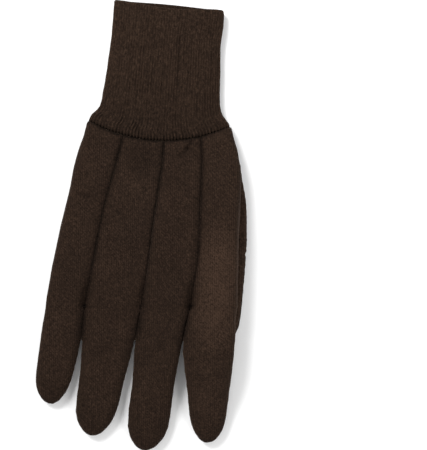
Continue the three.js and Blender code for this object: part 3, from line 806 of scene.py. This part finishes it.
# The creases get painted shade, for each millimetre of depth.
CREASE_WIDTH, CREASE_END, CREASE_PAINTED_SHADE = 0.8 * MM, 0.1, 0.3
CREASES = [  # share across, from and to, and depth in millimetres
    (0.632, 0.2, 0.72, 0.55),
    (0.43, 0.76, 0.92, 0.5),
    (0.2, 0.5, 0.68, 0.2),
]
RIB_LIGHT_AND_SHADE, RIB_LEVEL = 0.14, 0.3  # painted light and shade of the ribs: how much lighter a rib is, and how far up it the tone is even
GATHERED_LIGHT_AND_SHADE = (0.12, 0.82, 1.0)  # these are an amount, and the shares between which it grows
LOWER_DARK = (0.14, 0.5, 0.9)
# painted shade where the knit rolls in to the seam
KNIT_SEAM_SHADE = (0.5, 0.985, 1.0)
# a painted highlight along the two side folds
FOLD_PAINTED_LIGHT = (0.35, 0.955, 0.99)
DENSE_STEPS, BLUR_HALF = 260, 5  # the edges are read this densely and rounded over this many steps each way
edges = np.array(WRIST_EDGES)
dense = np.linspace(0, edges[-1, 0], DENSE_STEPS)
blur = np.hanning(2 * BLUR_HALF + 1)
blur = blur / blur.sum()
wrist_columns = []
for column in range(1, edges.shape[1]):
    run = np.interp(dense, edges[:, 0], edges[:, column] * MM)
    before, after = 2 * run[0] - run[BLUR_HALF:0:-1], 2 * run[-1] - run[-2 : -2 - BLUR_HALF : -1]
    wrist_columns.append(np.convolve(np.concatenate([before, run, after]), blur, mode="valid"))
rib_count = RIBS * RIB_STEPS
rib_phase = np.arange(rib_count) / RIB_STEPS * math.tau
rib_chance = np.random.default_rng(RIB_SEED)
rib_strength = np.repeat(rib_chance.uniform(*RIB_STRENGTHS, RIBS), RIB_STEPS)
rib_runs = [rib_chance.uniform(0, math.tau, RIBS) for _ in RIB_TURNS]


def drawn_out(value):
    """A sine or cosine made that of the rounded section."""
    return np.sign(value) * np.abs(value) ** (2 / WRIST_BULGE)


def evenly_round(half_wide, half_thick):
    """Evenly spaced places round the section, from -1 to 1 across and up, starting at the left fold."""
    turn = np.linspace(0, math.tau, SECTION_STEPS)
    across, up = -drawn_out(np.cos(turn)), drawn_out(np.sin(turn))
    steps = np.hypot(np.diff(across * half_wide), np.diff(up * half_thick))
    length = np.concatenate([[0], np.cumsum(steps)])
    chosen = np.interp(length[-1] * np.arange(rib_count) / rib_count, length, turn)
    return -drawn_out(np.cos(chosen)), drawn_out(np.sin(chosen))


def creases_of(share, across, half_wide):
    """How deep the creases are at each place of a ring, in millimetres."""
    depths = 0.0
    for crease_at, start, end, depth in CREASES:
        near = bell(((across + 1) / 2 - crease_at) * 2 * half_wide, CREASE_WIDTH)
        over = smooth_step(share, start, start + CREASE_END) * (1 - smooth_step(share, end - CREASE_END, end))
        depths = depths + depth * near * over
    return depths


def grown(value, amount, start, end):
    """An amount that grows from none at a start to all of it at an end."""
    return amount * smooth_step(value, start, end)


def wrist_ring(share, inset, out=0.0, ribbed=1.0):
    """A ring of places round the tube, inset from its face and pushed out of the mouth, with their shade."""
    left_x, left_y, right_x, right_y, half_thick, rise = (
        np.interp(share, dense, column) for column in wrist_columns
    )
    half_wide = (right_x - left_x) / 2
    across, up = evenly_round(half_wide, half_thick)
    ripple = np.cos(rib_phase)
    waves = [np.sin(np.repeat(run, RIB_STEPS) + share * turn) for run, turn in zip(rib_runs, RIB_TURNS)]
    strength = rib_strength * (1 + RIB_UNEVEN * sum(waves) / len(waves))
    creased = creases_of(share, across, half_wide) * (up > 0)
    height = (rise * ripple * strength - creased * MM) * ribbed
    normal_x = np.sign(across) * np.abs(across) ** (WRIST_BULGE - 1) / half_wide
    normal_z = np.sign(up) * np.abs(up) ** (WRIST_BULGE - 1) / half_thick
    size = np.hypot(normal_x, normal_z)
    lip_share = np.clip((share - (1 - LIP)) / LIP, 0, 1)
    lip = LIP_DEPTH * (1 - math.sqrt(max(1 - lip_share**2, 0)))
    sunk = inset + lip * (1 - LIP_FOLD_CALM * np.abs(across) ** LIP_FOLD_POWER)
    x = (left_x + right_x) / 2 + across * half_wide + normal_x / size * (height - sunk)
    z = half_thick * (1 + up) + normal_z / size * (height - sunk)
    y = left_y + (right_y - left_y) * (across + 1) / 2
    y = y - SEAM_SAG * smooth_step(share, SAG_FROM, 1.0) * (1 - across**2) + out
    mid_mouth = np.sin(math.pi * (across + 1) / 2) ** MOUTH_POWER
    near_mouth = (1 - smooth_step(share, 0, MOUTH_REACH)) * mid_mouth
    y = y + near_mouth * np.where(up > 0, -MOUTH_DIP, MOUTH_PEEK) * np.abs(up)
    y = y - SCALLOP * ripple * smooth_step(share, SCALLOP_FROM, 1.0)
    # Painted light on the ribs and along the folds, painted shade in the furrows, into the seam and in the
    # creases, and darker towards the seam end.
    shade = 1 + (RIB_LIGHT_AND_SHADE + grown(share, *GATHERED_LIGHT_AND_SHADE)) * (ripple * strength - RIB_LEVEL) * ribbed
    shade = shade * (1 - grown(share, *LOWER_DARK)) * (1 - grown(share, *KNIT_SEAM_SHADE))
    shade = shade * (1 + grown(np.abs(across), *FOLD_PAINTED_LIGHT)) * (1 - CREASE_PAINTED_SHADE * creased)
    return np.column_stack([x, y, np.maximum(z, 0.0), shade])


# The rings go up the outer face, round the folded edge of the mouth and down the inner face. They begin and
# end with the allowance of the seam, which is turned in.
GATHERS_FROM = 0.88  # the rings are closer from here on
STRAIGHT_RINGS, GATHERED_RINGS, INNER_RINGS = 62, 22, 16
EDGE_ANGLES = (36, 72, 108, 144)  # degrees round the fold of the mouth
ALLOWANCE = [(1.05, 2.6 * MM, 0), (1.02, 1.6 * MM, 0.5)]  # share along the tube, inset and share of the ribs
INNER_TO = 1.02
straight_shares = np.linspace(0.0, GATHERS_FROM, STRAIGHT_RINGS, endpoint=False)
gathered_shares = np.linspace(GATHERS_FROM, 1.0, GATHERED_RINGS)
outer_shares = np.concatenate([straight_shares, gathered_shares])
rings = [wrist_ring(share, inset, ribbed=ribbed) for share, inset, ribbed in ALLOWANCE]
rings += [wrist_ring(share, 0.0) for share in outer_shares[::-1]]
for angle in EDGE_ANGLES:
    turn = math.radians(angle)
    inset = KNIT_WALL / 2 * (1 - math.cos(turn))
    rings.append(wrist_ring(0.0, inset, out=KNIT_WALL / 2 * math.sin(turn), ribbed=math.cos(turn / 2)))
rings += [wrist_ring(share, KNIT_WALL, ribbed=0.5) for share in np.linspace(0.0, INNER_TO, INNER_RINGS)]
rings.append(rings[0])
knit_mesh = bmesh.new()
bmesh.ops.create_grid(knit_mesh, x_segments=rib_count, y_segments=len(rings) - 1, size=1.0)
knit_shade = knit_mesh.verts.layers.float.new("shade")
for vert in knit_mesh.verts:
    column = round((vert.co.x + 1) / 2 * rib_count) % rib_count
    *place, shade = rings[round((vert.co.y + 1) / 2 * (len(rings) - 1))][column]
    vert.co = place
    vert[knit_shade] = shade
bmesh.ops.remove_doubles(knit_mesh, verts=knit_mesh.verts, dist=DOUBLES / 2)
bmesh.ops.recalc_face_normals(knit_mesh, faces=knit_mesh.faces)
for face in knit_mesh.faces:
    face.smooth = True

rib = Finish("rib_knit")
rib_fuzz = rib.noise(1500, detail=4.0, roughness=0.75)
rib_tufts = rib.noise(760, detail=2.0, stretch=(1, 0.7, 1))
rib_courses = rib.bands("Y", RIB_COURSE)
rib_mottle = rib.noise(90, detail=2.0)
rib_pile = rib.sum((rib_fuzz, 0.6), (rib_tufts, 0.34), (rib_courses, 0.02), (rib_mottle, 0.05))
rib.cloth(rib.shade(rib_pile, RIB_BROWN))
rib.bump(rib.sum((rib_fuzz, 0.6), (rib_tufts, 0.35), (rib_courses, 0.05)), RIB_PILE)
knit_tube = object_of("knit_tube", knit_mesh)
knit_tube.data.materials.append(rib.material)
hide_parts("knit_wrist")
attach(knit_tube, "root")
